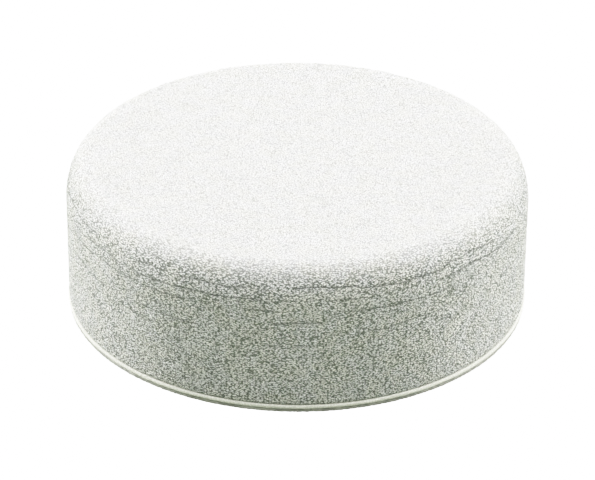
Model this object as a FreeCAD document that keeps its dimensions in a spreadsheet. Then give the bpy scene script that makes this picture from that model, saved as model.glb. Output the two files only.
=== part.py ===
# Felt polishing wheel: a thick pressed felt disc with a rounded working edge,
# glued to a loop-faced cloth that grips a hook-faced backing plate.
# Millimetres. +Z runs along the wheel's axis, from the loop face to the working face,
# and the origin is the centre of the loop face.
import FreeCAD, Part
import os
import Sketcher

doc = FreeCAD.newDocument("felt_polishing_wheel")

# Driving dimensions, from the loop face up.
DIMENSIONS = [
    ("wheel_diameter", "150"),     # felt, across its upright side
    ("wheel_height", "50"),        # overall, from the loop face to the working face
    ("edge_inset", "8"),           # rounded edge, in from the side
    ("edge_drop", "12"),           # rounded edge, down from the working face
    ("edge_tip_radius", "6"),      # the tighter arc of that edge, next to the working face
    ("foot_rounding", "0.4"),      # softened lower rim of the felt
    ("film_diameter", "149.6"),    # the glue stops a little short of the felt's side
    ("film_thickness", "0.25"),
    ("cloth_diameter", "150.6"),   # the cloth stands slightly proud of the felt
    ("cloth_thickness", "1.1"),
    ("cloth_rounding", "0.3"),     # softened rims of the cloth
    ("pile_diameter", "149.8"),
    ("pile_thickness", "1.4"),
]
dims = doc.addObject("Spreadsheet::Sheet", "dims")
for row, (alias, number) in enumerate(DIMENSIONS, start=1):
    dims.set(f"A{row}", alias)
    dims.set(f"B{row}", number)
    dims.setAlias(f"B{row}", alias)
doc.recompute()

# Heights where one layer ends and the next begins.
CLOTH_BASE = "dims.pile_thickness"
FILM_BASE = f"{CLOTH_BASE} + dims.cloth_thickness"
FELT_BASE = f"{FILM_BASE} + dims.film_thickness"


def new_body(name):
    """An empty body whose label names the piece."""
    body = doc.addObject("PartDesign::Body", name)
    body.Label = name
    return body


def sketch_on(body, role, name):
    """An empty sketch on the body's own origin plane with this role."""
    sketch = body.newObject("Sketcher::SketchObject", name)
    plane = next(f for f in body.Origin.OriginFeatures if f.Role == role)
    sketch.AttachmentSupport = [(plane, "")]
    sketch.MapMode = "FlatFace"
    return sketch


def drive(sketch, name, expression, kind, *elements):
    """A named dimension of the sketch, bound to an expression on the sheet."""
    starting_value = 10.0
    index = sketch.addConstraint(Sketcher.Constraint(kind, *elements, starting_value))
    sketch.renameConstraint(index, name)
    sketch.setExpression(f"Constraints.{name}", expression)


def round_layer(name, base, diameter, thickness):
    """A flat round layer, padded up from its own height above the loop face."""
    body = new_body(name)
    outline = sketch_on(body, "XY_Plane", f"{name}_outline")
    outline.setExpression("AttachmentOffset.Base.z", base)
    rim = outline.addGeometry(Part.Circle(FreeCAD.Vector(0, 0, 0), FreeCAD.Vector(0, 0, 1), 50), False)
    outline.addConstraint(Sketcher.Constraint("Coincident", rim, 3, -1, 1))
    drive(outline, "across", f"dims.{diameter}", "Diameter", rim)

    layer = body.newObject("PartDesign::Pad", f"{name}_layer")
    layer.Profile = outline
    layer.setExpression("Length", f"dims.{thickness}")
    doc.recompute()
    return body


def soften_rims(body, radius):
    """Rounds both rims of a round layer."""
    layer = body.Tip
    rims = [
        f"Edge{number}"
        for number, edge in enumerate(layer.Shape.Edges, start=1)
        if isinstance(edge.Curve, Part.Circle)
    ]
    rounding = body.newObject("PartDesign::Fillet", f"{body.Label}_rims")
    rounding.Base = (layer, rims)
    rounding.setExpression("Radius", f"dims.{radius}")
    doc.recompute()


# The half section of the felt, from the axis out and round: flat foot, softened lower rim,
# upright side, rounded edge made of two tangent arcs, and flat working face.
# It is drawn near its final place, and the dimensions pull it there.
START, END = 1, 2
ORIGIN = (-1, 1)
WHEEL_AXIS = -2


def felt_section(body):
    """The closed half section of the felt disc, on the body's XZ plane."""
    section = sketch_on(body, "XZ_Plane", "felt_section")

    def line(start, end):
        ends = [FreeCAD.Vector(x, z, 0) for x, z in (start, end)]
        return section.addGeometry(Part.LineSegment(*ends), False)

    def arc(start, through, end):
        points = [FreeCAD.Vector(x, z, 0) for x, z in (start, through, end)]
        return section.addGeometry(Part.Arc(*points), False)

    foot = line((0, 3), (74.6, 3))
    lower_rim = arc((74.6, 3), (74.9, 3.1), (75, 3.4))
    side = line((75, 3.4), (75, 38))
    wide_arc = arc((75, 38), (74.2, 43), (71.8, 47.6))
    tip_arc = arc((71.8, 47.6), (69.7, 49.4), (67, 50))
    top = line((67, 50), (0, 50))
    axis = line((0, 50), (0, 3))

    joined = [foot, lower_rim, side, wide_arc, tip_arc, top]
    for before, after in zip(joined, joined[1:]):
        section.addConstraint(Sketcher.Constraint("Tangent", before, END, after, START))
    section.addConstraint(Sketcher.Constraint("Coincident", top, END, axis, START))
    section.addConstraint(Sketcher.Constraint("Coincident", axis, END, foot, START))
    section.addConstraint(Sketcher.Constraint("PointOnObject", axis, START, WHEEL_AXIS))
    section.addConstraint(Sketcher.Constraint("PointOnObject", axis, END, WHEEL_AXIS))
    section.addConstraint(Sketcher.Constraint("Horizontal", foot))
    section.addConstraint(Sketcher.Constraint("Vertical", side))
    section.addConstraint(Sketcher.Constraint("Horizontal", top))

    drive(section, "foot_height", FELT_BASE, "DistanceY", *ORIGIN, foot, START)
    drive(section, "top_height", "dims.wheel_height", "DistanceY", *ORIGIN, top, END)
    drive(section, "side_radius", "dims.wheel_diameter / 2", "DistanceX", *ORIGIN, side, START)
    drive(section, "lower_rim_radius", "dims.foot_rounding", "Radius", lower_rim)
    drive(section, "edge_drop", "dims.edge_drop", "DistanceY", wide_arc, START, tip_arc, END)
    drive(section, "edge_inset", "dims.edge_inset", "DistanceX", tip_arc, END, wide_arc, START)
    drive(section, "tip_radius", "dims.edge_tip_radius", "Radius", tip_arc)
    return section


felt_body = new_body("felt_body")
section = felt_section(felt_body)
turned = felt_body.newObject("PartDesign::Revolution", "felt_body_turned")
turned.Profile = section
turned.ReferenceAxis = (section, ["V_Axis"])
turned.Angle = 360
doc.recompute()

bond_film = round_layer("bond_film", FILM_BASE, "film_diameter", "film_thickness")

backing_cloth = round_layer("backing_cloth", CLOTH_BASE, "cloth_diameter", "cloth_thickness")
soften_rims(backing_cloth, "cloth_rounding")

loop_pile = round_layer("loop_pile", "0", "pile_diameter", "pile_thickness")

# Nothing is written unless every feature and every piece is sound.
doc.recompute()
for feature in doc.Objects:
    if "Invalid" in feature.State or "Error" in feature.State:
        raise RuntimeError(f"{feature.Name} failed: {feature.State}")
pieces = [felt_body, bond_film, backing_cloth, loop_pile]
for piece in pieces:
    if piece.Shape.isNull() or not piece.Shape.isValid():
        raise RuntimeError(f"{piece.Label} has no valid shape")

os.makedirs("parts", exist_ok=True)
for piece in pieces:
    box = piece.Shape.optimalBoundingBox(False)
    print(f"{piece.Label}: {box.XLength:.2f} across, from z = {box.ZMin:.2f} to {box.ZMax:.2f}")
    piece.Shape.exportStep(f"parts/{piece.Label}.step")
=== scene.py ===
import math
import random

import bmesh
import bpy
from mathutils import Matrix, Vector, noise


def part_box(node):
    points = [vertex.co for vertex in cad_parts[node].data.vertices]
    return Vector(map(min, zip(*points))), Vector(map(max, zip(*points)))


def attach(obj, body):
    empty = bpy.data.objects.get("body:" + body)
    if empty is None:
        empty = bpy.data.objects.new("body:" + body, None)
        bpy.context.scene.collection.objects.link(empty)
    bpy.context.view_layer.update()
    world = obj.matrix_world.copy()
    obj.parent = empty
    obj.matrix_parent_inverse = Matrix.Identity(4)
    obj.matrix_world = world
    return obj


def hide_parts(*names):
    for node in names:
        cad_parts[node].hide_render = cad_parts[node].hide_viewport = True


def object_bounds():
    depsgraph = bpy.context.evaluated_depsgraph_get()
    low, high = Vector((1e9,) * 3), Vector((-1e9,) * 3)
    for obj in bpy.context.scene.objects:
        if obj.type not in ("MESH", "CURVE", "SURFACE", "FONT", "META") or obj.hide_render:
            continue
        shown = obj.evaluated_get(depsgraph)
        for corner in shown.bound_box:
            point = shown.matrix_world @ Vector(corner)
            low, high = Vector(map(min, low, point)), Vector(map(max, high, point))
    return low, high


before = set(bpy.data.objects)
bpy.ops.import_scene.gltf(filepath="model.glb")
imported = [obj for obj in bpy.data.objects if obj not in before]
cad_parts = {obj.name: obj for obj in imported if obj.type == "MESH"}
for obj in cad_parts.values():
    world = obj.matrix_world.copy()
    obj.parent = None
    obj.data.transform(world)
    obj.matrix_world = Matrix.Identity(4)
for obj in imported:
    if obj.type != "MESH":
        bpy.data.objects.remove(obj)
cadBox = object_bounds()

sceneNow = bpy.context.scene
mm = 0.001
weldDistance = 0.000001
capCorners = 100               # a face with this many corners or more is a flat cap
noiseMiddle = 0.5              # the value that noise swings about


def nodeRadius(name):
    low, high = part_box(name)
    return (high[0] - low[0]) / 2


def nodeHeights(name):
    low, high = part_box(name)
    return low[2], high[2]


def arcPoints(centreX, centreZ, radius, fromDegrees, toDegrees, steps):
    # points of an arc in the XZ plane, both ends included
    points = []
    for i in range(steps + 1):
        angle = math.radians(fromDegrees + (toDegrees - fromDegrees) * i / steps)
        points.append((centreX + radius * math.cos(angle), centreZ + radius * math.sin(angle)))
    return points


def spinProfile(points, steps):
    # turns an open XZ outline about the wheel's axis; it closes itself if it starts and ends on the axis
    bm = bmesh.new()
    verts = [bm.verts.new((x, 0, z)) for x, z in points]
    edges = [bm.edges.new(pair) for pair in zip(verts, verts[1:])]
    bmesh.ops.spin(bm, geom=verts + edges, cent=(0, 0, 0), axis=(0, 0, 1), angle=math.tau,
                   steps=steps, use_merge=True)
    bmesh.ops.remove_doubles(bm, verts=bm.verts[:], dist=weldDistance)
    bmesh.ops.recalc_face_normals(bm, faces=bm.faces[:])
    return bm


def capRing(bm):
    # closes the two round openings of a spun rim
    bmesh.ops.holes_fill(bm, edges=[e for e in bm.edges if e.is_boundary], sides=0)
    bmesh.ops.recalc_face_normals(bm, faces=bm.faces[:])


def makeObject(bm, name):
    # round surfaces are shaded smooth, the wide flat caps stay flat
    mesh = bpy.data.meshes.new(name)
    for face in bm.faces:
        face.smooth = len(face.verts) < capCorners
    bm.to_mesh(mesh)
    bm.free()
    piece = bpy.data.objects.new(name, mesh)
    sceneNow.collection.objects.link(piece)
    return piece


def finishPiece(piece, material):
    piece.data.materials.clear()
    piece.data.materials.append(material)
    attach(piece, "root")


def newMaterial(name, shaderValues):
    material = bpy.data.materials.new(name)
    material.use_nodes = True
    tree = material.node_tree
    shader = tree.nodes["Principled BSDF"]
    for socketName, value in shaderValues.items():
        shader.inputs[socketName].default_value = value
    return material, tree, shader


def addNode(tree, kind, values=None, **settings):
    node = tree.nodes.new(kind)
    for name, value in settings.items():
        setattr(node, name, value)
    for name, value in (values or {}).items():
        node.inputs[name].default_value = value
    return node


def feedSocket(tree, socket, value):
    # value is a number, a colour or another node's output
    if isinstance(value, (int, float)):
        socket.default_value = value
    elif isinstance(value, tuple):
        socket.default_value = (*value, 1.0)
    else:
        tree.links.new(value, socket)


def mathNode(tree, operation, *values):
    node = addNode(tree, "ShaderNodeMath", operation=operation)
    for socket, value in zip(node.inputs, values):
        feedSocket(tree, socket, value)
    return node.outputs["Value"]


def vectorNode(tree, operation, first, second):
    # second is a fixed vector or another node's output
    node = addNode(tree, "ShaderNodeVectorMath", operation=operation)
    tree.links.new(first, node.inputs[0])
    if isinstance(second, tuple):
        node.inputs[1].default_value = second
    else:
        tree.links.new(second, node.inputs[1])
    return node.outputs["Vector"]


def rampBetween(tree, value, low, high, lowResult=0.0, highResult=1.0):
    node = addNode(tree, "ShaderNodeMapRange", interpolation_type="SMOOTHSTEP")
    limits = {"Value": value, "From Min": low, "From Max": high, "To Min": lowResult, "To Max": highResult}
    for name, limit in limits.items():
        feedSocket(tree, node.inputs[name], limit)
    return node.outputs["Result"]


def mixNode(tree, factor, first, second, **settings):
    node = addNode(tree, "ShaderNodeMix", **settings)
    for name, value in (("Factor", factor), ("A", first), ("B", second)):
        feedSocket(tree, next(s for s in node.inputs if s.name == name and s.enabled), value)
    return next(s for s in node.outputs if s.enabled)


def mixNumbers(tree, factor, first, second):
    return mixNode(tree, factor, first, second, data_type="FLOAT")


def mixColours(tree, factor, first, second, blend="MIX"):
    return mixNode(tree, factor, first, second, data_type="RGBA", blend_type=blend)


def noiseNode(tree, vector, scale, detail):
    node = addNode(tree, "ShaderNodeTexNoise", {"Scale": scale, "Detail": detail})
    tree.links.new(vector, node.inputs["Vector"])
    return node.outputs


def bumpNormal(tree, height, distance):
    bump = addNode(tree, "ShaderNodeBump", {"Strength": 1.0, "Distance": distance})
    tree.links.new(height, bump.inputs["Height"])
    return bump.outputs["Normal"]


def objectVector(tree):
    return addNode(tree, "ShaderNodeTexCoord").outputs["Object"]


def splitVector(tree, vector):
    split = addNode(tree, "ShaderNodeSeparateXYZ")
    tree.links.new(vector, split.inputs["Vector"])
    return split.outputs


def objectMillimetres(tree):
    mapping = addNode(tree, "ShaderNodeMapping", {"Scale": (1 / mm,) * 3})
    tree.links.new(objectVector(tree), mapping.inputs["Vector"])
    return mapping.outputs["Vector"]


def rimMillimetres(tree, stretch=(1.0, 1.0, 1.0)):
    # millimetres along the rim, out from the axis and up, each times its own stretch; the join is at the back
    x, y, z = splitVector(tree, objectVector(tree))
    turn = mathNode(tree, "ARCTAN2", x, mathNode(tree, "MULTIPLY", y, -1.0))
    squares = mathNode(tree, "ADD", mathNode(tree, "MULTIPLY", x, x), mathNode(tree, "MULTIPLY", y, y))
    ways = ((turn, nodeRadius("felt_body")), (mathNode(tree, "SQRT", squares), 1.0), (z, 1.0))
    joined = addNode(tree, "ShaderNodeCombineXYZ")
    for socket, (value, size), share in zip(joined.inputs, ways, stretch):
        tree.links.new(mathNode(tree, "MULTIPLY", value, size * share / mm), socket)
    return joined.outputs["Vector"]


# the fibre pattern that the felt and the knitted cloth share, in steps of the pitch each one gives it
fibreWeave = {
    "bend": (0.7, 1.0),        # scale and detail of the slow noise that bends everything
    "scatter": 0.85,           # how unevenly the tufts stand
    "tuft": (0.20, 0.70),      # where a tuft's top ends and where its foot does
    "layers": (                # how fine, how high, and a shift that keeps the layers apart
        (0.90, 1.00, (3.1, 7.7, 1.9)),
        (1.30, 0.85, (11.3, 2.2, 8.4)),
    ),
    "pitShade": (0.22, 0.78),       # heights where the painted pit shade is deepest and where it ends
}


def makeMattedFibres():
    # Felted surface. Crossing curly strands are the lines where a warped noise passes through its
    # middle value, in layers that lie one under another; they sit on tufts with pits between them.
    w = fibreWeave
    group = bpy.data.node_groups.new("mattedFibres", "ShaderNodeTree")
    face = group.interface
    face.new_socket("Vector", in_out="INPUT", socket_type="NodeSocketVector")
    for name, value in (("Pitch", 1.0), ("Curl", 1.0), ("Thickness", 0.1), ("Strands", 0.4)):
        socket = face.new_socket(name, in_out="INPUT", socket_type="NodeSocketFloat")
        socket.default_value = value
    for name in ("Height", "ShadedPits"):
        face.new_socket(name, in_out="OUTPUT", socket_type="NodeSocketFloat")
    given = group.nodes.new("NodeGroupInput").outputs
    outOf = group.nodes.new("NodeGroupOutput")

    sized = vectorNode(group, "DIVIDE", given["Vector"], given["Pitch"])
    bend = noiseNode(group, sized, *w["bend"])
    centred = vectorNode(group, "SUBTRACT", bend["Color"], (noiseMiddle,) * 3)
    warped = vectorNode(group, "ADD", sized, vectorNode(group, "MULTIPLY", centred, given["Curl"]))

    tufts = addNode(group, "ShaderNodeTexVoronoi", {"Scale": 1.0, "Randomness": w["scatter"]})
    group.links.new(warped, tufts.inputs["Vector"])
    tuftHeight = rampBetween(group, tufts.outputs["Distance"], *w["tuft"], 1.0, 0.0)

    strands = None
    for fineness, level, shift in w["layers"]:
        layerNoise = noiseNode(group, vectorNode(group, "ADD", warped, shift), fineness, 0.0)
        fromMiddle = mathNode(group, "ABSOLUTE", mathNode(group, "SUBTRACT", layerNoise["Fac"], noiseMiddle))
        strand = rampBetween(group, fromMiddle, 0.0, given["Thickness"], level, 0.0)
        strands = strand if strands is None else mathNode(group, "MAXIMUM", strands, strand)

    height = mixNumbers(group, given["Strands"], tuftHeight, strands)
    group.links.new(height, outOf.inputs["Height"])
    # the pit mask, which the materials use to paint shade into the hollows
    group.links.new(rampBetween(group, height, *w["pitShade"], 1.0, 0.0), outOf.inputs["ShadedPits"])
    return group


def useFibres(tree, group, vector, values):
    node = addNode(tree, "ShaderNodeGroup", node_tree=group)
    for name, value in values.items():
        node.inputs[name].default_value = value
    tree.links.new(vector, node.inputs["Vector"])
    return node.outputs


feltWheel = {
    # shape, in metres
    "edgeInset": 0.008,        # rounded edge, in from the side
    "edgeDrop": 0.012,         # rounded edge, down from the working face
    "tipRadius": 0.006,        # tight arc beside the working face
    "footRadius": 0.0004,
    "arcSteps": (4, 12, 10),   # foot, wide arc, tip
    "turnSteps": 256,
    "grid": 0.00055,           # size of a mesh face
    "smoothing": 0.5,
    "underside": (0.0003, -0.9),  # up to which height, and how far a face there has to look down
    "dents": ((0.016, 0.00014), (0.005, 0.00007), (0.0022, 0.00006), (0.0011, 0.00022)),  # size, depth
    "dentShift": 9000,         # keeps dents of different sizes from lining up
    "footFade": 0.002,         # height over which the dents come in above the foot
    # grain
    "fibres": {"Pitch": 0.47, "Curl": 1.0, "Thickness": 0.10, "Strands": 0.38},  # pitch in mm
    "sideStretch": (0.56, 1.25, 1.25),  # below 1 draws the tufts out, above 1 packs them
    "sideBlend": 2.0,          # mm over which the face's grain turns into the side's
    "faceShadeShare": 0.80,      # how much of the painted pit shade the working face keeps against the side
    "faceBlend": (0.0060, 0.0004),      # below the face, where the pit shade starts to lighten and where it is lightest
    "relief": 0.00060,
    # colour
    "strand": (1.0, 1.0, 0.965),
    # painted shade, near black, for the hollows between the tufts
    "pitShade": (0.075, 0.087, 0.067),
    "shades": (                # noise scale, detail and limits, then the tints at the two limits
        (0.12, 2.0, (0.35, 0.65), (0.95, 0.955, 0.94), (1.0, 1.0, 1.0)),
        (0.16, 1.0, (0.40, 0.60), (1.0, 1.0, 0.955), (0.985, 0.993, 1.0)),
    ),
    "roughness": (1.0, 0.86),  # in the pits, on the strands
    "shader": {
        "Subsurface Weight": 0.15,
        "Subsurface Scale": 0.005,
        "Subsurface Radius": (1.0, 1.0, 0.9),
        "Specular IOR Level": 0.2,
        "Sheen Weight": 0.15,
        "Sheen Roughness": 0.6,
    },
    # creases that run along the rim: dents in the relief, darkened with painted shade
    "creaseShade": (0.045, 0.052, 0.04),
    "creaseGap": 3.8,          # mm from one line of creases to the next
    "creaseWidth": 0.55,       # mm
    "creaseLength": 20.0,      # mm
    "creaseWaver": 1.1,        # how far the lines wander, in gaps
    "creaseBends": (0.07, 0.10, 0.10),  # how often they do, along the rim, out and up, per mm
    "creaseBreaks": (0.46, 0.59),       # noise where a crease starts and where it is at its darkest
    "creaseStrength": 0.75,
    "creaseDepth": 0.9,        # share of the grain's relief
    "creaseFoot": (0.032, 0.020),       # below the face, where creases fade in
    "creaseTop": (0.0060, 0.0030),      # below the face, where they fade out
}


def makeCreases(tree, up, top):
    s = feltWheel
    gap = s["creaseGap"]
    bends = noiseNode(tree, rimMillimetres(tree, s["creaseBends"]), 1.0, 2.0)
    level = mathNode(tree, "ADD", mathNode(tree, "MULTIPLY", up, 1 / (gap * mm)),
                     mathNode(tree, "MULTIPLY", bends["Fac"], s["creaseWaver"]))
    fromLine = mathNode(tree, "PINGPONG", level, 0.5)  # 0 on a line of creases, 0.5 halfway to the next
    creases = rampBetween(tree, fromLine, 0.0, s["creaseWidth"] / gap, 1.0, 0.0)
    breaks = noiseNode(tree, rimMillimetres(tree, (1 / s["creaseLength"], 1 / gap, 1 / gap)), 1.0, 1.0)
    masks = (
        rampBetween(tree, breaks["Fac"], *s["creaseBreaks"], 0.0, s["creaseStrength"]),
        rampBetween(tree, up, *(top - depth for depth in s["creaseFoot"])),
        rampBetween(tree, up, *(top - depth for depth in s["creaseTop"]), 1.0, 0.0),
    )
    for mask in masks:
        creases = mathNode(tree, "MULTIPLY", creases, mask)
    return creases


def makeFeltMaterial(fibres):
    s = feltWheel
    material, tree, shader = newMaterial("pressedFelt", s["shader"])
    links = tree.links
    top = nodeHeights("felt_body")[1]
    up = splitVector(tree, objectVector(tree))["Z"]

    # round the side and over the edge the strands lie along the rim, on the working face they lie any way
    face = useFibres(tree, fibres, objectMillimetres(tree), s["fibres"])
    side = useFibres(tree, fibres, rimMillimetres(tree, s["sideStretch"]), s["fibres"])
    fromAxis = splitVector(tree, rimMillimetres(tree))["Y"]
    flatEnds = (nodeRadius("felt_body") - s["edgeInset"]) / mm
    onSide = rampBetween(tree, fromAxis, flatEnds - s["sideBlend"], flatEnds)
    height = mixNumbers(tree, onSide, face["Height"], side["Height"])
    shadedPits = mixNumbers(tree, onSide, face["ShadedPits"], side["ShadedPits"])

    # painted shade: the pits are darkened less on the working face than on the side
    pitShadeOnFace = rampBetween(tree, up, *(top - depth for depth in s["faceBlend"]), 1.0, s["faceShadeShare"])
    shadedPits = mathNode(tree, "MULTIPLY", shadedPits, pitShadeOnFace)
    creases = makeCreases(tree, up, top)

    # painted shade: the hollows take the near-black pit colour, on felt that is off-white throughout
    colour = mixColours(tree, shadedPits, s["strand"], s["pitShade"])
    # painted shade in the creases
    colour = mixColours(tree, creases, colour, s["creaseShade"])
    for scale, detail, limits, lowTint, highTint in s["shades"]:
        patches = noiseNode(tree, objectMillimetres(tree), scale, detail)["Fac"]
        shade = mixColours(tree, rampBetween(tree, patches, *limits), lowTint, highTint)
        colour = mixColours(tree, 1.0, colour, shade, blend="MULTIPLY")
    links.new(colour, shader.inputs["Base Color"])

    relief = mathNode(tree, "SUBTRACT", height, mathNode(tree, "MULTIPLY", creases, s["creaseDepth"]))
    links.new(bumpNormal(tree, relief, s["relief"]), shader.inputs["Normal"])
    links.new(rampBetween(tree, height, 0.0, 1.0, *s["roughness"]), shader.inputs["Roughness"])
    return material


def feltOutline():
    s = feltWheel
    low, high = nodeHeights("felt_body")
    radius = nodeRadius("felt_body")
    inset, drop, tip, foot = s["edgeInset"], s["edgeDrop"], s["tipRadius"], s["footRadius"]
    footSteps, wideSteps, tipSteps = s["arcSteps"]
    # the wide arc is tangent to the side and to the tip arc
    wide = (inset ** 2 + (drop - tip) ** 2 - tip ** 2) / (2 * (inset - tip))
    meet = math.degrees(math.atan2(drop - tip, wide - inset))
    return [
        (0, low),
        *arcPoints(radius - foot, low + foot, foot, -90, 0, footSteps),
        *arcPoints(radius - wide, high - drop, wide, 0, meet, wideSteps),
        *arcPoints(radius - inset, high - tip, tip, meet, 90, tipSteps)[1:],
        (0, high),
    ]


def makeFelt(material):
    s = feltWheel
    low = nodeHeights("felt_body")[0]
    turned = makeObject(spinProfile(feltOutline(), s["turnSteps"]), "felt_wheel")
    grid = turned.modifiers.new("evenMesh", "REMESH")
    grid.mode = "VOXEL"
    grid.voxel_size = s["grid"]
    evened = bpy.data.meshes.new_from_object(turned.evaluated_get(bpy.context.evaluated_depsgraph_get()))
    bpy.data.objects.remove(turned)

    bm = bmesh.new()
    bm.from_mesh(evened)
    bpy.data.meshes.remove(evened)
    bmesh.ops.smooth_vert(bm, verts=bm.verts[:], factor=s["smoothing"],
                          use_axis_x=True, use_axis_y=True, use_axis_z=True)
    # the glued underside is never seen, so it is one flat face
    height, lookingDown = s["underside"]
    underside = [f for f in bm.faces
                 if f.normal.z < lookingDown and f.calc_center_median().z < low + height]
    bmesh.ops.dissolve_faces(bm, faces=underside, use_verts=True)

    bm.normal_update()
    for vert in bm.verts:
        push = 0.0
        for size, depth in s["dents"]:
            push += noise.noise(vert.co / size + Vector((size * s["dentShift"], 0, 0))) * depth
        aboveFoot = min(1.0, max(0.0, (vert.co.z - low - s["footRadius"]) / s["footFade"]))
        vert.co += vert.normal * push * aboveFoot
    felt = makeObject(bm, "felt_wheel")
    finishPiece(felt, material)
    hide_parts("felt_body")


backingSheet = {
    # shape, in metres
    "beadRadius": 0.00069,     # the cut rim swells up past the glue line
    "beadOut": 0.00002,        # how far the swelling stands out past the sheet
    "beadIn": 0.0020,          # how far in the swelling starts
    "beadTurn": (-90, 130),    # degrees, from under the swelling, round the outside and over its top
    "beadSteps": 10,
    "pitch": 0.0009,           # from one knitted lump to the next
    "stepsPerLump": 3,
    "lump": 0.00012,
    "waver": 0.00008,          # how far the rim rises and falls
    "waverRate": 9,            # how quickly it does so round the rim
    # finish
    "fibres": {"Pitch": 0.6, "Curl": 1.2, "Thickness": 0.14},  # pitch in mm
    "yarn": (0.68, 0.69, 0.595),
    # painted shade between the knitted yarns, on cloth that is cream throughout
    "gapShade": (0.50, 0.51, 0.43),
    "relief": 0.00012,
    "roughness": (0.95, 0.75),  # in the gaps, on the yarn
    "shader": {"Specular IOR Level": 0.3},
}


def makeClothMaterial(fibres):
    s = backingSheet
    material, tree, shader = newMaterial("knittedBacking", s["shader"])
    knit = useFibres(tree, fibres, objectMillimetres(tree), s["fibres"])
    # painted shade: the gaps between the yarns are darkened
    tree.links.new(mixColours(tree, knit["ShadedPits"], s["yarn"], s["gapShade"]), shader.inputs["Base Color"])
    tree.links.new(bumpNormal(tree, knit["Height"], s["relief"]), shader.inputs["Normal"])
    roughness = rampBetween(tree, knit["Height"], 0.0, 1.0, *s["roughness"])
    tree.links.new(roughness, shader.inputs["Roughness"])
    return material


def makeCloth(material):
    s = backingSheet
    low, high = nodeHeights("backing_cloth")
    radius = nodeRadius("backing_cloth")
    bead = s["beadRadius"]
    inner = radius - s["beadIn"]
    steps = int(math.tau * radius / (s["pitch"] / s["stepsPerLump"]))
    rim = arcPoints(radius + s["beadOut"] - bead, low + bead, bead, *s["beadTurn"], s["beadSteps"])
    bm = spinProfile([(inner, low), *rim, (inner, high)], steps)
    capRing(bm)
    for vert in bm.verts:
        across = Vector((vert.co.x, vert.co.y, 0))
        outwards = across.normalized()
        edge = max(0.0, (across.length - radius + s["beadIn"]) / s["beadIn"])
        lump = noise.noise(vert.co / s["pitch"]) * s["lump"] * edge
        waver = noise.noise(outwards * s["waverRate"]) * s["waver"] * edge
        vert.co += outwards * lump + Vector((0, 0, waver))
    cloth = makeObject(bm, "backing_sheet")
    finishPiece(cloth, material)
    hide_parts("backing_cloth")


loopLayer = {
    # ground cloth, in metres
    "groundThickness": 0.0006,
    "rimThickness": 0.00112,   # the heat-cut rim is nearly as thick as the pressed pile
    "rimOut": 0.00015,         # and melts out past it
    "rimWidth": 0.0008,
    "rimRound": 0.00018,
    "roundSteps": 3,
    "turnSteps": 1400,
    "grain": 0.0007,           # size of the melted rim's bumps
    "grainDepth": 0.00022,
    # loops
    "count": 11000,
    "pieces": 3,               # the loops are split into a middle disc and rings round it
    "seed": 41,
    "wire": 0.00008,           # half the thickness of one loop's yarn
    "width": (0.0009, 0.0017),
    "height": (0.75, 1.0),     # share of the way down to the lowest point
    "lean": 0.45,
    "root": 0.8,               # how far down through the ground cloth the loops start
    "points": 6,
    # finish: dark greys that paint the shade under the wheel onto off-white yarn
    "dark": (0.16, 0.165, 0.14),
    "pale": (0.25, 0.255, 0.215),
    "tones": (0.5, 2.0),       # scale and detail of the noise between them
    "toneLimits": (0.35, 0.65),
    "roughLimits": (0.3, 0.7),
    "roughness": (0.75, 0.5),
}


def makeLoopMaterial():
    s = loopLayer
    material, tree, shader = newMaterial("nappedLoops", {})
    tones = noiseNode(tree, objectMillimetres(tree), *s["tones"])["Fac"]
    # painted shade: the off-white loops and their melted rim are coloured dark grey
    colour = mixColours(tree, rampBetween(tree, tones, *s["toneLimits"]), s["dark"], s["pale"])
    tree.links.new(colour, shader.inputs["Base Color"])
    tree.links.new(rampBetween(tree, tones, *s["roughLimits"], *s["roughness"]), shader.inputs["Roughness"])
    return material


def makeLoopGround(material):
    s = loopLayer
    high = nodeHeights("loop_pile")[1]
    radius = nodeRadius("loop_pile")
    foot = high - s["rimThickness"]
    ground = high - s["groundThickness"]
    soft = s["rimRound"]
    inner = radius - s["rimWidth"]
    outer = radius + s["rimOut"]
    outline = [
        (inner, ground),
        *arcPoints(inner + soft, foot + soft, soft, 180, 270, s["roundSteps"]),
        *arcPoints(outer - soft, foot + soft, soft, -90, 0, s["roundSteps"]),
        *arcPoints(outer - soft, high - soft, soft, 0, 90, s["roundSteps"]),
        (inner, high),
    ]
    bm = spinProfile(outline, s["turnSteps"])
    capRing(bm)
    for vert in bm.verts:
        outwards = Vector((vert.co.x, vert.co.y, 0)).normalized()
        vert.co += outwards * noise.noise(vert.co / s["grain"]) * s["grainDepth"]
    piece = makeObject(bm, "loop_ground")
    finishPiece(piece, material)
    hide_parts("loop_pile")


def addLoop(curve, draw, foot, drop):
    # one open loop of yarn that hangs from foot and leans over
    s = loopLayer
    heading = draw.uniform(0, math.tau)
    along = Vector((math.cos(heading), math.sin(heading), 0))
    lean = Vector((draw.uniform(-1, 1), draw.uniform(-1, 1), 0)) * s["lean"] * drop
    width = draw.uniform(*s["width"])
    tall = drop * draw.uniform(*s["height"])
    spline = curve.splines.new("POLY")
    spline.points.add(s["points"] - 1)
    for i, point in enumerate(spline.points):
        turn = math.pi * i / (s["points"] - 1)
        rise = math.sin(turn)
        spot = foot - along * math.cos(turn) * width / 2 + lean * rise - Vector((0, 0, tall * rise))
        point.co = (*spot, 1.0)


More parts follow.
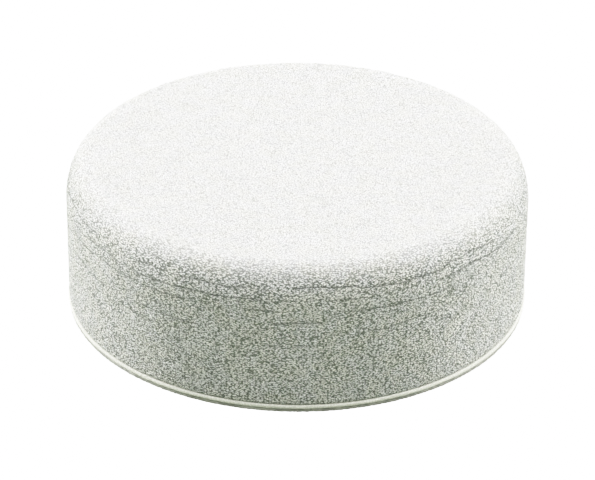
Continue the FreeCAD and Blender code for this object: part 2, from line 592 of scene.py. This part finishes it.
def makeLoops(material):
    s = loopLayer
    low, high = nodeHeights("loop_pile")
    reach = nodeRadius("loop_pile") - s["rimWidth"]
    draw = random.Random(s["seed"])
    root = high - s["groundThickness"] * s["root"]
    drop = root - low - s["wire"]
    for part in range(s["pieces"]):
        name = f"loops_{part + 1}"
        curve = bpy.data.curves.new(name, "CURVE")
        curve.dimensions = "3D"
        curve.bevel_depth = s["wire"]
        curve.bevel_resolution = 0
        for _ in range(s["count"] // s["pieces"]):
            distance = reach * math.sqrt((part + draw.random()) / s["pieces"])
            angle = draw.uniform(0, math.tau)
            addLoop(curve, draw, Vector((distance * math.cos(angle), distance * math.sin(angle), root)), drop)
        strands = bpy.data.objects.new(name, curve)
        mesh = bpy.data.meshes.new_from_object(strands)
        mesh.name = name
        bpy.data.objects.remove(strands)
        for face in mesh.polygons:
            face.use_smooth = True
        loops = bpy.data.objects.new(name, mesh)
        sceneNow.collection.objects.link(loops)
        finishPiece(loops, material)


glueLine = {
    "spots": (0.8, 3.0),       # scale and detail of the mottling
    "dark": (0.62, 0.60, 0.50),
    "pale": (0.78, 0.76, 0.68),
    "relief": 0.0002,
    "roughLimits": (0.3, 0.7),
    "roughness": (0.35, 0.6),
}


def makeGlueMaterial():
    s = glueLine
    material, tree, shader = newMaterial("driedGlue", {})
    spots = noiseNode(tree, objectMillimetres(tree), *s["spots"])["Fac"]
    tree.links.new(mixColours(tree, spots, s["dark"], s["pale"]), shader.inputs["Base Color"])
    tree.links.new(bumpNormal(tree, spots, s["relief"]), shader.inputs["Normal"])
    tree.links.new(rampBetween(tree, spots, *s["roughLimits"], *s["roughness"]), shader.inputs["Roughness"])
    return material


studio = {
    "floorSize": 3.0,
    "floorSides": 96,
    "floorBounce": (0.36, 0.398, 0.325),  # what the wheel gets back from the floor
    "skyFill": (0.52, 0.575, 0.47),       # and from all round
    "whiteSeen": 3.5,                     # while the camera sees both as plain white
    "overhead": {"power": 32.0, "size": 1.1, "distance": 0.75, "azimuth": 152, "elevation": 82,
                 "colour": (1.0, 0.96, 1.02)},
    "left": {"power": 41.5, "size": 0.5, "distance": 1.1, "azimuth": -114, "elevation": 12,
             "colour": (1.0, 0.975, 0.99)},
    "right": {"power": 30.5, "size": 0.5, "distance": 1.1, "azimuth": 111, "elevation": 12,
              "colour": (1.0, 0.975, 0.99)},
}


def fromFront(azimuth, elevation):
    # direction from the wheel; azimuth 0 is the camera's side and grows to the right
    a, e = math.radians(azimuth), math.radians(elevation)
    return Vector((math.sin(a) * math.cos(e), -math.cos(a) * math.cos(e), math.sin(e)))


def showWhite(tree, lit, white, outputName):
    # the camera sees white, every other ray meets lit
    seen = addNode(tree, "ShaderNodeLightPath")
    mix = addNode(tree, "ShaderNodeMixShader")
    tree.links.new(seen.outputs["Is Camera Ray"], mix.inputs["Fac"])
    tree.links.new(lit, mix.inputs[1])
    tree.links.new(white, mix.inputs[2])
    tree.links.new(mix.outputs["Shader"], tree.nodes[outputName].inputs["Surface"])


def makeFloor():
    bm = bmesh.new()
    bmesh.ops.create_circle(bm, cap_ends=True, segments=studio["floorSides"], radius=studio["floorSize"])
    floor = makeObject(bm, "pale_floor")
    material, tree, shader = newMaterial("paleFloor", {
        "Base Color": (*studio["floorBounce"], 1.0),
        "Roughness": 1.0,
        "Specular IOR Level": 0.0,
    })
    glow = addNode(tree, "ShaderNodeEmission", {"Strength": studio["whiteSeen"]})
    showWhite(tree, shader.outputs["BSDF"], glow.outputs["Emission"], "Material Output")
    floor.data.materials.append(material)


def makeSky():
    world = bpy.data.worlds.new("studioSky")
    sceneNow.world = world
    world.use_nodes = True
    tree = world.node_tree
    fill = tree.nodes["Background"]
    fill.inputs["Color"].default_value = (*studio["skyFill"], 1.0)
    white = addNode(tree, "ShaderNodeBackground",
                    {"Color": (1.0, 1.0, 1.0, 1.0), "Strength": studio["whiteSeen"]})
    showWhite(tree, fill.outputs["Background"], white.outputs["Background"], "World Output")


def makeSoftbox(name, middle):
    box = studio[name]
    light = bpy.data.lights.new(name + "_softbox", "AREA")
    light.energy = box["power"]
    light.color = box["colour"]
    light.shape = "DISK"
    light.size = box["size"]
    lamp = bpy.data.objects.new(name + "_softbox", light)
    sceneNow.collection.objects.link(lamp)
    towards = fromFront(box["azimuth"], box["elevation"])
    lamp.location = middle + towards * box["distance"]
    lamp.rotation_euler = towards.to_track_quat("Z", "Y").to_euler()


toneCurve = {
    "speed": 1.27,             # how fast tones rise from black
    "white": 3.5,              # scene brightness that comes out as paper white
    "points": (0.03, 0.08, 0.15, 0.25, 0.40, 0.60, 0.80),  # shares of white where the curve is set
}


def makeToneCurve():
    # film-like response: bright felt is eased towards white and keeps its grain
    t = toneCurve
    settings = sceneNow.view_settings
    settings.view_transform = "Standard"
    settings.use_curve_mapping = True
    mapping = settings.curve_mapping
    mapping.white_level = (t["white"],) * 3
    combined = mapping.curves[3]
    fullRise = 1 - math.exp(-t["speed"] * t["white"])
    for share in t["points"]:
        combined.points.new(share, (1 - math.exp(-t["speed"] * t["white"] * share)) / fullRise)
    mapping.update()


cameraView = {
    "elevation": 29.61,        # degrees above the floor
    "distance": 1.0705,
    "aim": (0.00015, 0.0, 0.0192),
    "roll": 0.38,              # degrees
    "lens": 197.5,
    "sensor": 36.0,
    "clip": (0.05, 20.0),
}


def makeCamera():
    v = cameraView
    lens = bpy.data.cameras.new("studioCamera")
    lens.lens = v["lens"]
    lens.sensor_width = v["sensor"]
    lens.clip_start, lens.clip_end = v["clip"]
    camera = bpy.data.objects.new("studioCamera", lens)
    sceneNow.collection.objects.link(camera)
    towards = fromFront(0, v["elevation"])
    roll = Matrix.Rotation(math.radians(v["roll"]), 4, "Z")
    turn = towards.to_track_quat("Z", "Y").to_matrix().to_4x4() @ roll
    camera.matrix_world = Matrix.Translation(Vector(v["aim"]) + towards * v["distance"]) @ turn
    sceneNow.camera = camera


makeCamera()
print("camera placed")
fibreGroup = makeMattedFibres()
makeFelt(makeFeltMaterial(fibreGroup))
print("felt wheel made")
makeCloth(makeClothMaterial(fibreGroup))
print("backing cloth made")
loopMaterial = makeLoopMaterial()
makeLoopGround(loopMaterial)
makeLoops(loopMaterial)
print("loops made")
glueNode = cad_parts["bond_film"]
glueNode.data.materials.clear()
glueNode.data.materials.append(makeGlueMaterial())
print("glue line finished")

makeFloor()
makeSky()
wheelMiddle = (cadBox[0] + cadBox[1]) / 2
for boxName in ("overhead", "left", "right"):
    makeSoftbox(boxName, wheelMiddle)
makeToneCurve()
print("studio lit")
